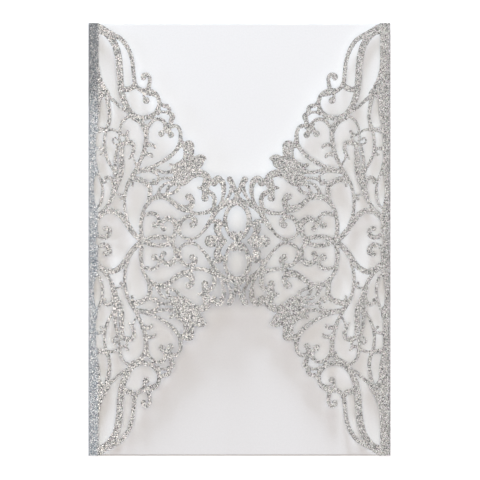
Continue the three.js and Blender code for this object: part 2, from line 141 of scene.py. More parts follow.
# Painted shade on the strip beside the left fold, in millimetres: a cool painted shade mixed over the
# flakes, and a darker painted shade towards the top, rising from one height to another
SHADE_STRIP_WIDTH = 4
SHADE_STRIP_FADE = 0.5
COOL_SHADE_SHARE = 0.35
COOL_SHADE_COLOUR = (0.29, 0.36, 0.44)
DARK_SHADE_FROM = 48
DARK_SHADE_TO = 66
DARK_SHADE_COLOUR = (0.6, 0.59, 0.58)

# The plain cards: the colours of their grain from its low places to its high ones
BOARD_COLOURS = ((0.3, (0.74, 0.735, 0.72)), (0.7, (0.82, 0.815, 0.8)))
PEARL_COLOURS = ((0.3, (0.84, 0.84, 0.85)), (0.7, (0.87, 0.87, 0.88)))

# The camera, in millimetres: VIEW_WIDTH of the card's plane fills the picture
LENS = 600
SENSOR = 36
VIEW_WIDTH = 200.3
VIEW_CENTRE = (0.22, -0.27)

# The floor in metres, and how much it and the world shine
WHITE = (1, 1, 1)
FLOOR_SIZE = 6
FLOOR_DROP = 0.0001
FLOOR_COLOUR = (0.8, 0.8, 0.8)
FLOOR_GLOW = 0.55
WORLD_LEVEL = 0.305
WORLD_SEEN = 1
WORLD_COLOUR = (0.93, 0.83, 0.97)

# The lamps: name, place and width in metres, power in watts, and colour
LAMPS = (
    ("grazing", (0, 1.28, 0.226), 0.35, 27.9, (0.77, 0.88, 1)),
    ("raking", (0, 1.126, 0.65), 0.5, 1.8, (0.8, 1, 0.9)),
    ("overhead", (0, 0, 1.3), 0.9, 6.6, (1, 0.93, 0.74)),
    ("left", (-1.148, 0, 0.61), 0.5, 3, (0.72, 0.85, 1)),
)

# The lace on the upper half of a gate: strokes of [u, v, width], with u from the outside of the fold
# towards the centre and v up from the mid line

CORNER_LEAF = [
    [[3, 88.2, 3.9], [7.5, 86.1, 2.9], [10.7, 82.2, 2.9], [12.3, 78, 2.9], [13.1, 73, 2.8],
     [13.6, 65.5, 2.8], [14.8, 59, 2.7], [17, 54.5, 2.4], [19.5, 52, 2.2], [22.6, 50.9, 2]],
    [[5.6, 88.1, 2.4], [10.7, 85.4, 2], [14.2, 83.2, 1.9], [16.9, 79.4, 1.8], [18.5, 74.5, 1.7],
     [19.2, 68.5, 1.7], [19.9, 64.8, 1.7], [22.2, 62.6, 1.9], [25.8, 61.8, 3], [28.8, 60.4, 2],
     [29.9, 57.4, 1.6], [28.8, 53.9, 1.7], [26.3, 51.7, 2], [22.6, 50.9, 2]],
    [[14.2, 63.2, 2.4], [16.5, 62.9, 2.2], [18.4, 63.6, 2.3], [19.8, 65, 1.8]],
    [[8, 60.3, 1.8], [11.2, 57.8, 1.4], [14, 55.2, 1.3], [16.8, 53.7, 1.6]],
    [[25.1, 62.6, 2], [25.7, 65.3, 1.6], [25.8, 67.7, 1.6], [24.6, 69, 1.8], [23.1, 68.5, 2]],
    [[23.9, 62, 1.4], [23.5, 60, 1.2], [24, 58.6, 1.6]],
    [[7.8, 59.6, 2], [8.6, 55.8, 1.6], [9, 52.3, 1.5], [8.6, 48.8, 1.6], [7.6, 46.3, 1.8]],
]

INNER_SCROLLS = [
    [[18.6, 52.2, 1.6], [15.8, 50.9, 1.3], [14, 48.8, 1.2], [13.4, 46.3, 1.2], [13.4, 44.4, 1.2]],
    [[13.4, 44.4, 1.2], [15.7, 44.1, 1.3], [16.7, 45.6, 1.2]],
    [[3, 46, 2.8], [6.2, 46.2, 1.8], [11, 46.1, 1], [13.3, 44.7, 1.1]],
    [[13.4, 44.4, 1.1], [13, 42.6, 1], [13.6, 40.8, 1.4], [14.4, 39.6, 1.6]],
    [[15.7, 44.1, 1.1], [16.3, 42.8, 1.2], [15.8, 41.2, 1.4]],
    [[7.4, 45.6, 1.3], [6.8, 41.5, 1.2], [7.1, 37.3, 1.3], [8.6, 33, 1.3], [10.6, 29.4, 1.2],
     [11.7, 25.4, 1.2]],
    [[12.6, 40, 0.9], [10.7, 40.7, 0.7], [10.3, 42.1, 0.7], [11.3, 43, 0.7], [12, 42.2, 0.8]],
    [[12.6, 40, 1.2], [11.8, 36.5, 1.4], [11.3, 33, 1.4], [11.6, 30, 1.6], [12.2, 26.4, 1.6]],
    [[14.4, 39.6, 1.6], [14, 36, 2.1], [14, 31, 2.3], [13.8, 28, 2], [13.2, 25.8, 1.8],
     [12.2, 24, 1.6]],
    [[14.3, 40.3, 1.6], [16.5, 41, 2.2], [18.6, 40.6, 1.9], [19.2, 39, 1.7], [18.9, 37.1, 1.6],
     [18.2, 35.6, 1.2]],
    [[18.3, 35.9, 1], [19.1, 34.3, 0.8], [19.7, 32.8, 0.8], [20.4, 31.2, 0.8]],
    [[18, 35.4, 0.9], [17.2, 34.2, 0.7]],
    [[2.6, 38.5, 1.8], [4.8, 38.4, 1.3], [7, 38.1, 1.3]],
    [[6.8, 38, 1], [6.3, 36.9, 0.8], [5.6, 36.2, 0.9]],
    [[3.7, 29.2, 1.2], [5.3, 25.3, 1.1], [6, 21.5, 1.1], [5.7, 17.8, 1.1], [4.8, 15, 1.1],
     [3.6, 13.8, 1]],
    [[11, 23.6, 2.2], [9.9, 25.8, 1.7], [8.3, 26.5, 1.6], [6.8, 25.7, 1.4], [6.9, 24.6, 1.2]],
    [[12.1, 24.6, 2.4], [11.1, 21.8, 2.5], [9.8, 17.6, 1.8], [7.8, 14.3, 1.5], [5.8, 11.8, 1.4],
     [3.6, 8.8, 1.4]],
    [[11.2, 19.5, 0.9], [13.4, 19.5, 0.8], [15.5, 18.6, 0.9]],
    [[14.8, 18.8, 0.8], [13.8, 17.7, 1.1]],
]

LOBES = [
    [[29.8, 57.6, 1.6], [31.6, 56.2, 1.7], [33.3, 55.9, 1.8], [34.1, 54.5, 1.8], [33.6, 53.3, 1.5]],
    [[29.5, 54.6, 2.2], [29.2, 53, 1.6], [30.8, 53.5, 1.2], [32.6, 53.5, 1.2], [34.3, 53, 1.6]],
    [[34, 53.3, 1.6], [35.5, 51.8, 2.2], [35, 50.1, 2.1], [34.8, 48.6, 1.8]],
    [[18.8, 51.2, 2], [21.5, 50, 2.4], [23.1, 48, 2.3], [24.2, 45.4, 2]],
    [[33, 48.4, 1.7], [33.2, 46.5, 1.5], [33, 45, 0.9]],
    [[24.4, 46.2, 2], [25.7, 48.2, 1.4], [27.6, 50.2, 1.6], [29.8, 50.6, 1.5], [31.8, 49.6, 1.7],
     [32.5, 47.6, 1.7], [31.8, 45.9, 1.5]],
    [[38.9, 42, 1.7], [38.8, 45.3, 1.6], [37.5, 47.5, 1.6], [35.4, 47.6, 1.7], [34, 46.4, 1.8],
     [34.4, 44.6, 1.8]],
]

STEMS = [
    [[24.3, 47.4, 2], [24.3, 42, 1.9], [23.5, 37.3, 1.8], [21.7, 33, 1.7], [19.6, 28.7, 1.7],
     [17.3, 25, 1.6], [15.9, 21.3, 1.4], [15.3, 17, 1.3], [15.5, 12.5, 1.3], [17, 7.4, 1.2]],
    [[24, 40, 2], [26.4, 40, 1.7], [27.9, 39.5, 1.3], [28.1, 38.9, 1.1]],
    [[23, 36.1, 2.1], [25.4, 36.2, 1.7], [26.6, 35.8, 1.3], [26.8, 35, 1.1]],
    [[20.3, 29.3, 1.4], [24.3, 30.1, 1.5], [28, 31.3, 1.6], [33, 34.1, 1.7], [36.6, 37.2, 1.7],
     [38.6, 40.4, 1.9], [39, 43.5, 1.6]],
    [[25.6, 30, 1.3], [28.3, 29.7, 1.2], [31.5, 28.7, 1.4], [33.5, 28.6, 1.4], [36, 29.2, 2.4]],
    [[19.2, 28.2, 1.4], [23, 28.9, 1.1], [26.6, 29, 1.2], [29.2, 27.4, 1.2], [29.6, 25.4, 1.2],
     [28.4, 23.9, 1.2]],
    [[19, 26.1, 2.5], [21.5, 25.6, 2.4], [24, 24.5, 2.1], [25.7, 22.8, 2.2], [26, 20.5, 2],
     [25.8, 18, 1.9], [25.3, 16.4, 1.7]],
    [[18.8, 25, 1.4], [18.5, 23, 1.1]],
    [[24.8, 24.2, 1.4], [27, 24, 1.2], [28.8, 24, 1.4]],
    [[27.5, 24.2, 1.2], [27.5, 25.2, 1.3]],
    [[29.2, 25.2, 1.2], [31.5, 26.1, 1.2], [33.6, 26.2, 1.2], [36.8, 25.8, 2]],
    [[29.3, 19.6, 1.6], [30.2, 21.7, 1.4], [31.6, 23.3, 1.2], [33.5, 24.3, 0.9], [36.5, 24.9, 1]],
    [[33.2, 19.6, 1.6], [33.5, 21.6, 1.5], [34.6, 23.1, 1.2], [37.2, 23.8, 1.4]],
    [[32.4, 19.4, 1.2], [35, 19.9, 1.4], [37.1, 20.8, 1.5], [38, 22.1, 1.6], [38.6, 24, 2]],
]

BLOSSOM = [
    [[42.3, 39.4, 4.9], [42.4, 36.6, 4.5], [42, 33.5, 4.6], [41.5, 30.5, 5]],
    [[39.6, 41, 1.7], [39.3, 39.3, 1.4]],
    [[36, 31, 1.7], [34.6, 31.7, 1.5]],
    [[43.5, 28.4, 3.8], [47.9, 28.1, 3.1], [50.2, 26.6, 3.1], [49.9, 24, 3.6], [49.3, 21.8, 3],
     [49.1, 19.6, 2.2], [49.3, 17.9, 2.8]],
    [[48.4, 22.2, 2], [46.5, 22.2, 1.1]],
    [[49.4, 21, 2], [51.4, 20.1, 2.1], [52.9, 18.9, 2], [53.4, 17, 1.9], [53.2, 15.2, 1.9],
     [53.4, 13.2, 2]],
    [[50, 24.9, 2.6], [52.5, 24.8, 2.4]],
    [[53.1, 24.4, 3], [54.9, 25.9, 2.8], [56.5, 24.8, 2.6], [57.3, 22.5, 2.1], [57.3, 20.3, 1.8],
     [56.9, 18.2, 1.4], [56.2, 16.2, 1.2], [55.2, 14.6, 1.2]],
]

HEART = [
    [[3.5, 9.3, 2.2], [6.5, 12, 2.4], [10, 12.7, 2.3], [13.3, 11, 2.3], [16.2, 7.3, 2.3],
     [18.9, 3.5, 2.3], [21, 1.4, 2.2], [23.4, -0.4, 2.2]],
    [[3, 3.4, 1.9], [5.2, 1.9, 1.9], [7.3, 1.6, 2], [8.8, 3, 2], [8.8, 4.8, 2], [7.5, 5.4, 1.9]],
]

RINGS = [
    [[23.4, -0.4, 2], [22.5, 2.6, 1.8], [22.1, 6, 1.7], [22.5, 9.5, 1.6], [23.2, 12.7, 1.5],
     [24.9, 15.5, 1.7], [27.3, 17.7, 2], [30.5, 18.7, 2.5], [33.5, 17.8, 2.1], [36.1, 15.8, 2.2],
     [38.8, 14, 2.7], [41.5, 13.5, 3], [43.4, 14.8, 2.7], [43.8, 17, 2.4], [42.9, 18.3, 2.8]],
    [[22.6, 10.6, 1.4], [24.6, 11.2, 1.5], [26.7, 11.6, 1.6], [28.7, 10.9, 1.6], [29.8, 9.2, 1.5],
     [29.5, 7.4, 1.7]],
    [[37.2, 6.2, 2.2], [36.2, 8.1, 2.4], [34.2, 9.4, 2.4], [32.2, 8.8, 2.1], [30.9, 7.4, 2],
     [31, 5.9, 1.6]],
    [[37.6, 7, 2.4], [37.4, 5, 3], [36.6, 3.2, 1.9], [35.8, 1.6, 2], [34.6, -0.4, 2.4]],
    [[24, 0.3, 2], [27, 1.5, 1.9], [30, 1.8, 2], [33, 1.4, 1.9], [35.4, 0.2, 2.2]],
    [[38, 6.2, 2.4], [39.4, 8.6, 1.9], [41.3, 10, 1.8], [43.5, 10, 2], [45, 8.7, 2.2],
     [45, 7.3, 2.3]],
    [[42.2, 13, 2], [44.5, 11.7, 1.5], [47.5, 11.6, 1.5], [50, 12, 1.8], [52.9, 13.1, 2.4]],
    [[37.9, 5.4, 2.2], [38.7, 3, 1.4], [40.4, 1.5, 1.3], [43, 0.8, 1.4], [45.6, 1.4, 1.3],
     [48.2, 3.8, 1.3], [50.3, 6.4, 1.8], [51.9, 8.9, 2.1], [53.6, 11.8, 2.2], [55.6, 13.9, 2.2],
     [58.3, 15.5, 2.2], [60.8, 16.4, 2], [62.4, 17.8, 1.9], [63.4, 19.9, 1.9], [64.5, 22, 2.2],
     [65.3, 24, 2.3], [66.2, 25.7, 2.4]],
    [[52.6, 8.3, 1.7], [55.4, 8.3, 1.9]],
    [[59.8, 25.7, 2.4], [60.8, 24, 2.3], [60.8, 22, 2.1], [60.1, 20, 1.5], [59.1, 18, 1.3],
     [57.4, 16, 1.4]],
]

MEDALLION = [
    [[63.4, 16.2, 2.3], [60.8, 15, 1.9], [59.1, 13, 1.7], [58.2, 10.8, 1.6], [58, 8.5, 1.7],
     [58.5, 5.8, 1.5], [59.6, 3.2, 1.4], [61, 1.7, 1.8], [63.2, 1, 2.6]],
    [[58.2, 7.1, 1.8], [56.6, 7.1, 2.4], [55.1, 6.4, 3], [54.8, 4.9, 2.8], [55.3, 3.3, 2.1],
     [56.4, 1.6, 1.8], [57.6, 0, 1.9]],
    [[52.2, 0, 4.9], [54, 0, 4.5], [56, 0, 3], [57.6, 0, 1.9]],
]

# The round ends of the curls: [u, v, radius]

BULBS = [
    [24.4, 58.3, 1.4], [23.2, 67.7, 1.15], [30.8, 44.6, 1.35], [34.8, 44.1, 1.35], [5.4, 36, 0.6],
    [7, 24.6, 0.75], [13.7, 17.6, 0.65], [7, 5.2, 0.95], [42.3, 18.5, 1.45], [28, 6.7, 1.45],
    [31.8, 5.2, 1.15], [44, 6.8, 1.4], [49.3, 17.9, 1.5], [53.1, 24.2, 1.5],
]

MEDALLION_BULBS = [
    [61.45, 2.9, 1.35],
]

# Smooth outlines of filled areas, and the free edge of the strip beside the fold: [u, v]

BLOSSOM_BODY = [
    [36.2, 31.9], [38.6, 33.4], [41, 35], [43.6, 33.8], [46.2, 30], [46.8, 28.6], [45.8, 26.6],
    [44.1, 25.9], [42.4, 24.2], [40.3, 22.9], [38.6, 23.2], [36.6, 25.2], [35.8, 27.5], [35.2, 30],
]

BLOSSOM_LEAF = [
    [43.5, 34.5], [45.2, 35.4], [47, 36], [48.7, 35.7], [50.1, 34.4], [48.9, 33], [48.4, 31.4],
    [46.4, 30], [43.5, 30.8],
]

CORNER_FILL = [
    [2, 84], [2, 91.5], [4.6, 89.9], [6.6, 88.9], [6, 86.6], [4.2, 85.6],
]

SPINE_EDGE = [
    [4.5, 92], [4.5, 86], [4.4, 76], [4.7, 72], [5.5, 68.3], [7.4, 64.2], [9.2, 61], [7, 60.2],
    [5.2, 58], [4.9, 54], [4.4, 50.5], [3.4, 45.4], [3.2, 40], [3.3, 34], [4.1, 29.4], [2.7, 26],
    [2.6, 18], [3.7, 13.3], [3.9, 8.4], [3.9, 4], [3.3, 1.4], [3.3, -1],
]


def smooth_line(points, closed=False):
    """A smooth line through points: a cubic between each pair, whose slopes at its two ends come
    from the neighbours at gaps of the square root of their distance."""
    p = np.array(points, float)
    if closed:
        p = np.vstack([p[-1:], p, p[:2]])
    else:
        p = np.vstack([2 * p[0] - p[1], p, 2 * p[-1] - p[-2]])
    gap = np.sqrt(np.linalg.norm(np.diff(p, axis=0), axis=1))[:, None]
    before, start, end, after = p[:-3], p[1:-2], p[2:-1], p[3:]
    g0, g1, g2 = gap[:-2], gap[1:-1], gap[2:]
    leave = ((start - before) / g0 - (end - before) / (g0 + g1) + (end - start) / g1) * g1
    arrive = ((end - start) / g1 - (after - start) / (g1 + g2) + (after - end) / g2) * g1
    t = np.linspace(0, 1, LINE_STEPS, endpoint=False)[:, None, None]
    line = (
        (2 * t**3 - 3 * t**2 + 1) * start
        + (t**3 - 2 * t**2 + t) * leave
        + (3 * t**2 - 2 * t**3) * end
        + (t**3 - t**2) * arrive
    )
    line = line.transpose(1, 0, 2).reshape(-1, p.shape[1])
    return line if closed else np.vstack([line, end[-1]])


def on_card(points):
    """Drawn points in millimetres on the real card, with their width or radius as it is."""
    points = np.array(points, float)
    points[:, :2] *= STRETCH
    return points


def mirrored_across(points):
    """Drawn points on the other side of the centre line."""
    points = np.array(points, float)
    points[:, 0] = DRAWN_WIDTH - points[:, 0]
    return points


class FlatGate:
    """The signed distance to the edge of the lace at the nodes of a flat grid, below 0 on card.

    Each stroke adds exp(-distance / CROTCH_RADIUS), and the joined distance is minus the log of the
    sum times CROTCH_RADIUS, so that the edges of two strokes run into each other in a small curve.
    The sheet's two ends lie halfway between two rows of the grid."""

    def __init__(self):
        """A grid with no stroke on it yet."""
        rows = round(HALF_HEIGHT / GRID_STEP)
        last = rows + GRID_MARGIN
        self.v = np.arange(-last, last + 1) * HALF_HEIGHT / (rows + 0.5)
        self.u = np.arange(0, HALF_WIDTH + PAST_CENTRE, GRID_STEP)
        self.total = np.zeros((len(self.u), len(self.v)))

    def window(self, points, reach):
        """The slice of the grid that lies within reach of points."""
        low = points[:, :2].min(0) - reach
        high = points[:, :2].max(0) + reach
        across = slice(*np.searchsorted(self.u, [low[0], high[0]]))
        up = slice(*np.searchsorted(self.v, [low[1], high[1]]))
        return across, up

    def nearest(self, window, points, radius):
        """The least distance from each node of a window to discs round the points."""
        across, up = window
        du = self.u[across, None, None] - points[:, 0]
        dv = self.v[None, up, None] - points[:, 1]
        return (np.hypot(du, dv) - radius).min(-1)

    def join(self, window, distance):
        """Adds the distance to a shape's edge, and that to its mirror image about the mid line."""
        share = np.zeros_like(self.total)
        share[window] = np.exp(-distance / CROTCH_RADIUS)
        self.total += share + share[:, ::-1]

    def stroke(self, stroke):
        """Discs along a smooth line, each half as wide across as the stroke there."""
        line = smooth_line(on_card(stroke))
        whole = self.window(line, STROKE_REACH + line[:, 2].max() / 2)
        distance = np.full(self.total[whole].shape, np.inf)
        for part in np.array_split(line, max(1, len(line) // (2 * LINE_STEPS))):
            near = self.window(part, STROKE_REACH + part[:, 2].max() / 2)
            inner = tuple(
                slice(n.start - w.start, n.stop - w.start) for n, w in zip(near, whole)
            )
            found = self.nearest(near, part, part[:, 2] / 2)
            distance[inner] = np.minimum(distance[inner], found)
        self.join(whole, distance)

    def disc(self, disc):
        """One round end of a curl."""
        place = on_card([disc])
        window = self.window(place, STROKE_REACH + place[0, 2])
        self.join(window, self.nearest(window, place, place[0, 2]))

    def area(self, outline):
        """A filled area: the distance to its smooth outline, below 0 where a line to the right of
        the node crosses the outline an odd number of times."""
        ring = smooth_line(on_card(outline), closed=True)
        window = self.window(ring, STROKE_REACH)
        distance = self.nearest(window, ring, 0)
        (u0, v0), (u1, v1) = ring.T, np.roll(ring, -1, axis=0).T
        u = self.u[window[0], None, None]
        v = self.v[None, window[1], None]
        rise = np.where(v1 == v0, 1, v1 - v0)
        crossed = ((v0 > v) != (v1 > v)) & (u < u0 + (v - v0) / rise * (u1 - u0))
        inside = crossed.sum(-1) % 2 == 1
        self.join(window, np.where(inside, -distance, distance))

    def spine(self, edge):
        """The strip beside the fold: below 0 on the fold's side of its free edge."""
        line = smooth_line(on_card(edge))
        window = (slice(0, np.searchsorted(self.u, line[:, 0].max() + STROKE_REACH)), slice(None))
        distance = self.nearest(window, line, 0)
        limit = np.interp(self.v, line[::-1, 1], line[::-1, 0])
        limit = np.maximum(limit, SPINE_FLAT)
        signed = np.where(self.u[window[0], None] < limit, -distance, distance)
        above = self.v > 0
        signed[:, ~above] = signed[:, ::-1][:, ~above]
        self.total[window] += np.exp(-signed / CROTCH_RADIUS)

    def distance(self):
        """The joined distance, with nothing beyond the two ends of the sheet."""
        joined = -CROTCH_RADIUS * np.log(self.total + np.exp(-STROKE_REACH / CROTCH_RADIUS))
        return np.maximum(joined, np.abs(self.v) - HALF_HEIGHT)


def lace_gate():
    """The whole lace of one gate."""
    gate = FlatGate()
    for stroke in CORNER_LEAF + INNER_SCROLLS + LOBES + STEMS + BLOSSOM + HEART + RINGS:
        gate.stroke(stroke)
    for stroke in MEDALLION:
        gate.stroke(stroke)
        gate.stroke(mirrored_across(stroke))
    for disc in BULBS:
        gate.disc(disc)
    for disc in MEDALLION_BULBS:
        gate.disc(disc)
        gate.disc(mirrored_across([disc])[0])
    for outline in (BLOSSOM_BODY, BLOSSOM_LEAF, CORNER_FILL):
        gate.area(outline)
    gate.spine(SPINE_EDGE)
    return gate


def edge_lines(x, y, value):
    """Where a value on a grid crosses 0: points on the grid's lines, by straight interpolation, and
    the pairs of them that a straight piece of the edge joins, one or two in each cell."""
    inside = value < 0
    number = np.full((2,) + value.shape, -1)
    flips_x = inside[:-1] != inside[1:]
    flips_y = inside[:, :-1] != inside[:, 1:]
    i, j = np.nonzero(flips_x)
    share = value[i, j] / (value[i, j] - value[i + 1, j])
    along_x = np.column_stack([x[i] + share * (x[i + 1] - x[i]), y[j]])
    number[0, i, j] = np.arange(len(i))
    i, j = np.nonzero(flips_y)
    share = value[i, j] / (value[i, j] - value[i, j + 1])
    along_y = np.column_stack([x[i], y[j] + share * (y[j + 1] - y[j])])
    number[1, i, j] = len(along_x) + np.arange(len(i))
    sides = {
        "low": number[0, :-1, :-1],
        "high": number[0, :-1, 1:],
        "left": number[1, :-1, :-1],
        "right": number[1, 1:, :-1],
    }
    corners = inside[:-1, :-1] * 1 + inside[1:, :-1] * 2 + inside[1:, 1:] * 4 + inside[:-1, 1:] * 8
    pairs = []
    for kinds, one, other in EDGE_CASES:
        here = np.isin(corners, kinds)
        pairs.append(np.column_stack([sides[one][here], sides[other][here]]))
    return np.vstack([along_x, along_y]), np.vstack(pairs)


def joined_groups(count, links):
    """The group of each of count things, where links pair the ones that belong together."""
    group = np.arange(count)
    one, other = links.T
    while np.any(group[one] != group[other]):
        least = np.minimum(group[one], group[other])
        np.minimum.at(group, group[one], least)
        np.minimum.at(group, group[other], least)
        group = group[group]
    return group


def side_keys(sides, count):
    """One number for each side between two of count corners, the same both ways."""
    return sides.min(1) * count + sides.max(1)


def regions(triangles, lines, count):
    """The region of each triangle: two triangles whose common side is no line are in the same."""
    sides = triangles[:, [[0, 1], [1, 2], [2, 0]]].reshape(-1, 2)
    keys = side_keys(sides, count)
    owner = np.repeat(np.arange(len(triangles)), 3)
    order = np.argsort(keys, kind="stable")
    keys = keys[order]
    owner = owner[order]
    same = (keys[1:] == keys[:-1]) & ~np.isin(keys[1:], side_keys(lines, count))
    return joined_groups(len(triangles), np.column_stack([owner[:-1][same], owner[1:][same]]))


def filled(x, y, value):
    """Corners and triangles where a value on a grid is below 0. Edge lines part the triangles into
    regions, and a region is kept where the value is below 0 on the most of its area."""
    points, pairs = edge_lines(x, y, value)
    # The two points with x = 0 are joined too, by the sheet's middle line
    pairs = np.vstack([pairs, np.nonzero(points[:, 0] == 0)[0]])
    found = delaunay_2d_cdt(
        list(map(Vector, points)), pairs.tolist(), [], TRIANGLES_INSIDE, SAME_POINT
    )
    corners = np.array(found[0])
    triangles = np.array(found[2])
    lines = np.array([side for side, origin in zip(found[1], found[4]) if origin])
    region = regions(triangles, lines, len(corners))
    middle = corners[triangles].mean(1)
    column = np.searchsorted((x[1:] + x[:-1]) / 2, middle[:, 0])
    row = np.searchsorted((y[1:] + y[:-1]) / 2, middle[:, 1])
    edge, other = (corners[triangles[:, k]] - corners[triangles[:, 0]] for k in (1, 2))
    area = abs(edge[:, 0] * other[:, 1] - edge[:, 1] * other[:, 0]) / 2
    return corners, triangles[np.bincount(region, area * value[column, row])[region] < 0]


def half_sheet():
    """One half of the flat sheet as corners and triangles. Across it w runs from 0 in the middle of
    the back panel, over the bend, to the gate, whose u starts one fold's depth before its end."""
    gate = lace_gate()
    w = np.append(0, PANEL_HALF + BEND_LENGTH - FOLD_DEPTH + gate.u)
    panel = np.abs(gate.v) - HALF_HEIGHT
    corners, triangles = filled(w, gate.v, np.vstack([panel, gate.distance()]))
    mesh = bpy.data.meshes.new("flat_sheet")
    mesh.from_pydata(np.pad(corners, ((0, 0), (0, 1))), [], triangles)
    flat = bmesh.new()
    flat.from_mesh(mesh)
    for line in PANEL_HALF + BEND_LENGTH * np.linspace(0, 1, BEND_STEPS + 1):
        everything = flat.verts[:] + flat.edges[:] + flat.faces[:]
        bmesh.ops.bisect_plane(flat, geom=everything, plane_co=(line, 0, 0), plane_no=(1, 0, 0))
    bmesh.ops.triangulate(flat, faces=flat.faces[:])
    flat.to_mesh(mesh)
    flat.free()
    corners = np.empty(len(mesh.vertices) * 3)
    mesh.vertices.foreach_get("co", corners)
    triangles = np.empty(len(mesh.loops), int)
    mesh.loops.foreach_get("vertex_index", triangles)
    bpy.data.meshes.remove(mesh)
    return corners.reshape(-1, 3)[:, :2], triangles.reshape(-1, 3)


def upper_lift():
    """The lift of the upper gate in radians: it lies on the tip of the lower gate's medallion."""
    tips = on_card(np.vstack(MEDALLION))
    reach = CARD_WIDTH - (tips[:, 0] - tips[:, 2] / 2).min()
    rise = (reach - FOLD_DEPTH) * np.tan(np.radians(LOWER_LIFT)) + CARD_THICKNESS + GATE_CLEARANCE
    return np.arctan2(rise, CARD_WIDTH - reach - FOLD_DEPTH)


def folded(corners, outward):
    """Flat corners [w, y] on the folded card, outward of the middle of its thickness.

    In the bend the sheet turns evenly through a half turn less the gate's lift, at the middle
    radius plus outward. Past the bend it climbs straight at the gate's lift, and seen from above
    the lace keeps its drawn place, so that both medallions lie over each other. A gate's shift to
    the left grows as the square of the way past the bend. The drop is that of the mid line times 1
    less the square of the way to the sheet's end."""
    w = np.abs(corners[:, 0])
    lift = np.where(corners[:, 0] < 0, upper_lift(), np.radians(LOWER_LIFT))
    turn = np.clip((w - PANEL_HALF) / BEND_LENGTH, 0, 1) * (np.pi - lift)
    past = np.maximum(w - PANEL_HALF - BEND_LENGTH, 0)
    radius = MID_RADIUS + outward
    x = np.minimum(w, PANEL_HALF) + radius * np.sin(turn) - past
    x = x * np.sign(corners[:, 0]) - LACE_SHIFT * (past / PANEL_HALF) ** 2
    y = corners[:, 1] - LACE_DROP * (1 - (corners[:, 1] / HALF_HEIGHT) ** 2)
    z = FOLD_DEPTH - radius * np.cos(turn) + past * np.sin(turn)
    return np.column_stack([x, y, z])


def outline_edges(triangles):
    """The directed sides of triangles that no other triangle runs the other way."""
    sides = np.vstack([triangles[:, [0, 1]], triangles[:, [1, 2]], triangles[:, [2, 0]]])
    count = triangles.max() + 1
    there = sides[:, 0] * count + sides[:, 1]
    back = sides[:, 1] * count + sides[:, 0]
    return sides[~np.isin(there, back)]


def make_mesh(name, corners, faces, kinds, materials, smooth=True):
    """A mesh of corners in millimetres, whose faces take their material by number."""
    mesh = bpy.data.meshes.new(name)
    mesh.from_pydata(corners * MM, [], faces)
    mesh.polygons.foreach_set("material_index", kinds)
    mesh.set_sharp_from_angle(angle=np.radians(SHARP_ANGLE))
    mesh.polygons.foreach_set("use_smooth", np.full(len(kinds), smooth))
    for material in materials:
        mesh.materials.append(material)
    mesh.update()
    piece = bpy.data.objects.new(name, mesh)
    bpy.context.scene.collection.objects.link(piece)
    return piece


def glitter_wrapper():
    """The folded sheet: the flat sheet's two faces half a thickness apart, its cut edges between
    them, and both halves put together along the middle of the back panel."""
    half, triangles = half_sheet()
    corners = np.vstack([half, half * [-1, 1]])
    triangles = np.vstack([triangles, triangles[:, ::-1] + len(half)])
    middle = np.nonzero(half[:, 0] == 0)[0]
    same = np.arange(len(corners))
    same[middle + len(half)] = middle
    triangles = same[triangles]
    inner = folded(corners, -CARD_THICKNESS / 2)
    outer = folded(corners, CARD_THICKNESS / 2)
    count = len(corners)
    cut = outline_edges(triangles)
    walls = np.column_stack([cut[:, 1], cut[:, 0], cut[:, 0] + count, cut[:, 1] + count])
    faces = triangles.tolist() + (triangles[:, ::-1] + count).tolist() + walls.tolist()
    kinds = np.repeat([1, 0, 1], [len(triangles), len(triangles), len(walls)])
    materials = [glitter_material(), board_material()]
    return make_mesh("glitter_wrapper", np.vstack([inner, outer]), faces, kinds, materials)


def new_material(name, **finish):
    """A material with its node tree and its shader, whose sockets get the values of the finish."""
    material = bpy.data.materials.new(name)
    material.use_nodes = True
    shader = material.node_tree.nodes["Principled BSDF"]
    for socket, value in finish.items():
        shader.inputs[socket.replace("_", " ")].default_value = value
    return material, material.node_tree, shader


def add_node(tree, kind, **settings):
    """A node with its settings, and its sockets set to a value or joined to another socket."""
    node = tree.nodes.new(kind)
    for key, value in settings.items():
        socket = key.replace("_", " ")
        if hasattr(node, key):
            setattr(node, key, value)
        elif isinstance(value, bpy.types.NodeSocket):
            tree.links.new(value, node.inputs[socket])
        else:
            node.inputs[socket].default_value = value
    return node


def joined_math(tree, operation, first, second, clamped=False):
    """The outcome of a calculation on two sockets."""
    node = add_node(tree, "ShaderNodeMath", operation=operation, use_clamp=clamped)
    tree.links.new(first, node.inputs[0])
    tree.links.new(second, node.inputs[1])
    return node.outputs[0]


def mixed(tree, share, first, second, blend_type="MIX"):
    """Two colours mixed, by a share of the second."""
    node = add_node(
        tree, "ShaderNodeMix", data_type="RGBA", blend_type=blend_type, Factor=share, A=first, B=second
    )
    return node.outputs["Result"]


def colour_ramp(tree, share, colours):
    """The colour that lies at a share from 0 to 1, straight between its neighbours."""
    node = add_node(tree, "ShaderNodeValToRGB", Fac=share)
    steps = node.color_ramp.elements
    steps[0].position = colours[0][0]
    steps[-1].position = colours[-1][0]
    for position, _ in colours[1:-1]:
        steps.new(position)
    for step, (_, colour) in zip(steps, colours):
        step.color = (*colour, 1)
    return node.outputs["Color"]


def object_place(tree):
    """The place on the object, which all patterns follow."""
    return add_node(tree, "ShaderNodeTexCoord").outputs["Object"]


